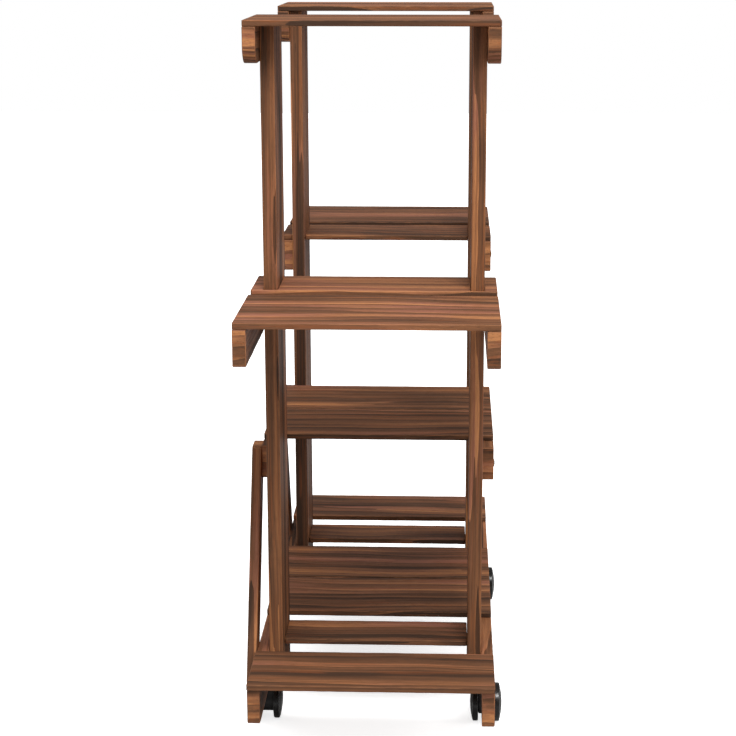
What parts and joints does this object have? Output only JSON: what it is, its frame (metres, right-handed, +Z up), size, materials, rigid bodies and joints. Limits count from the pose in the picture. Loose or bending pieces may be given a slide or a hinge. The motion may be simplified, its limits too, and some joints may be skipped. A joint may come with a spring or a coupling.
{
  "type": "flower cart stand",
  "caption": "Slim wooden rolling plant stand with stepped shelves on paired flat posts, slanted back braces and twin-wheel casters.",
  "frame": {"origin": "on the floor under the middle of the stand, at the wheels' lowest points", "axes": "+Z up; X along the stand's length, from the left pair of posts to the right pair; +Y towards the back, where the slanted braces are"},
  "size_m": [0.673, 0.2602, 0.72],
  "materials": {
    "stained_wood": "walnut-stained softwood with strong dark and orange streaks along the grain, satin",
    "caster_body_plastic": "black moulded plastic",
    "wheel_plastic": "black glossy moulded plastic",
    "steel": "zinc-plated turned steel"
  },
  "bodies": {
    "stand": {"board_cleats": "stained_wood", "bottom_centre_board_left": "stained_wood", "bottom_centre_board_right": "stained_wood", "bottom_end_board_left": "stained_wood", "bottom_end_board_right": "stained_wood", "bottom_post_board_left": "stained_wood", "bottom_post_board_right": "stained_wood", "bottom_rail_back": "stained_wood", "bottom_rail_front": "stained_wood", "brace_left": "stained_wood", "brace_right": "stained_wood", "middle_board_left": "stained_wood", "middle_board_right": "stained_wood", "middle_rail_back": "stained_wood", "middle_rail_front": "stained_wood", "post_left_back": "stained_wood", "post_left_front": "stained_wood", "post_right_back": "stained_wood", "post_right_front": "stained_wood", "top_board_left": "stained_wood", "top_board_right": "stained_wood", "top_bracket_left_back": "stained_wood", "top_bracket_left_front": "stained_wood", "top_bracket_right_back": "stained_wood", "top_bracket_right_front": "stained_wood", "upper_board_left": "stained_wood", "upper_board_right": "stained_wood", "upper_rail_left_back": "stained_wood", "upper_rail_left_front": "stained_wood", "upper_rail_right_back": "stained_wood", "upper_rail_right_front": "stained_wood", "upper_slotted_board_left": "stained_wood", "upper_slotted_board_right": "stained_wood", "caster_stem_left_front": "steel", "caster_stem_left_back": "steel", "caster_stem_right_front": "steel", "caster_stem_right_back": "steel"},
    "caster_left_front": {"caster_hood_left_front": "caster_body_plastic", "caster_axle_left_front": "steel"},
    "outer_wheel_left_front": {"caster_outer_wheel_left_front": "wheel_plastic"},
    "inner_wheel_left_front": {"caster_inner_wheel_left_front": "wheel_plastic"},
    "caster_left_back": {"caster_hood_left_back": "caster_body_plastic", "caster_axle_left_back": "steel"},
    "outer_wheel_left_back": {"caster_outer_wheel_left_back": "wheel_plastic"},
    "inner_wheel_left_back": {"caster_inner_wheel_left_back": "wheel_plastic"},
    "caster_right_front": {"caster_hood_right_front": "caster_body_plastic", "caster_axle_right_front": "steel"},
    "outer_wheel_right_front": {"caster_outer_wheel_right_front": "wheel_plastic"},
    "inner_wheel_right_front": {"caster_inner_wheel_right_front": "wheel_plastic"},
    "caster_right_back": {"caster_hood_right_back": "caster_body_plastic", "caster_axle_right_back": "steel"},
    "outer_wheel_right_back": {"caster_outer_wheel_right_back": "wheel_plastic"},
    "inner_wheel_right_back": {"caster_inner_wheel_right_back": "wheel_plastic"}
  },
  "joints": [
    {"name": "swivel_left_front", "type": "hinge", "parent": "stand", "child": "caster_left_front", "pos_m": [-0.15075, -0.11375, 0.045], "axis": [0, 0, 1], "continuous": true},
    {"name": "roll_outer_left_front", "type": "hinge", "parent": "caster_left_front", "child": "outer_wheel_left_front", "pos_m": [-0.16475, -0.11375, 0.0196], "axis": [0, 1, 0], "continuous": true},
    {"name": "roll_inner_left_front", "type": "hinge", "parent": "caster_left_front", "child": "inner_wheel_left_front", "pos_m": [-0.16475, -0.11375, 0.0196], "axis": [0, 1, 0], "continuous": true},
    {"name": "swivel_left_back", "type": "hinge", "parent": "stand", "child": "caster_left_back", "pos_m": [-0.15075, 0.11375, 0.045], "axis": [0, 0, 1], "continuous": true},
    {"name": "roll_outer_left_back", "type": "hinge", "parent": "caster_left_back", "child": "outer_wheel_left_back", "pos_m": [-0.16475, 0.11375, 0.0196], "axis": [0, 1, 0], "continuous": true},
    {"name": "roll_inner_left_back", "type": "hinge", "parent": "caster_left_back", "child": "inner_wheel_left_back", "pos_m": [-0.16475, 0.11375, 0.0196], "axis": [0, 1, 0], "continuous": true},
    {"name": "swivel_right_front", "type": "hinge", "parent": "stand", "child": "caster_right_front", "pos_m": [0.15075, -0.11375, 0.045], "axis": [0, 0, 1], "continuous": true},
    {"name": "roll_outer_right_front", "type": "hinge", "parent": "caster_right_front", "child": "outer_wheel_right_front", "pos_m": [0.16475, -0.11375, 0.0196], "axis": [0, 1, 0], "continuous": true},
    {"name": "roll_inner_right_front", "type": "hinge", "parent": "caster_right_front", "child": "inner_wheel_right_front", "pos_m": [0.16475, -0.11375, 0.0196], "axis": [0, 1, 0], "continuous": true},
    {"name": "swivel_right_back", "type": "hinge", "parent": "stand", "child": "caster_right_back", "pos_m": [0.15075, 0.11375, 0.045], "axis": [0, 0, 1], "continuous": true},
    {"name": "roll_outer_right_back", "type": "hinge", "parent": "caster_right_back", "child": "outer_wheel_right_back", "pos_m": [0.16475, 0.11375, 0.0196], "axis": [0, 1, 0], "continuous": true},
    {"name": "roll_inner_right_back", "type": "hinge", "parent": "caster_right_back", "child": "inner_wheel_right_back", "pos_m": [0.16475, 0.11375, 0.0196], "axis": [0, 1, 0], "continuous": true}
  ]
}
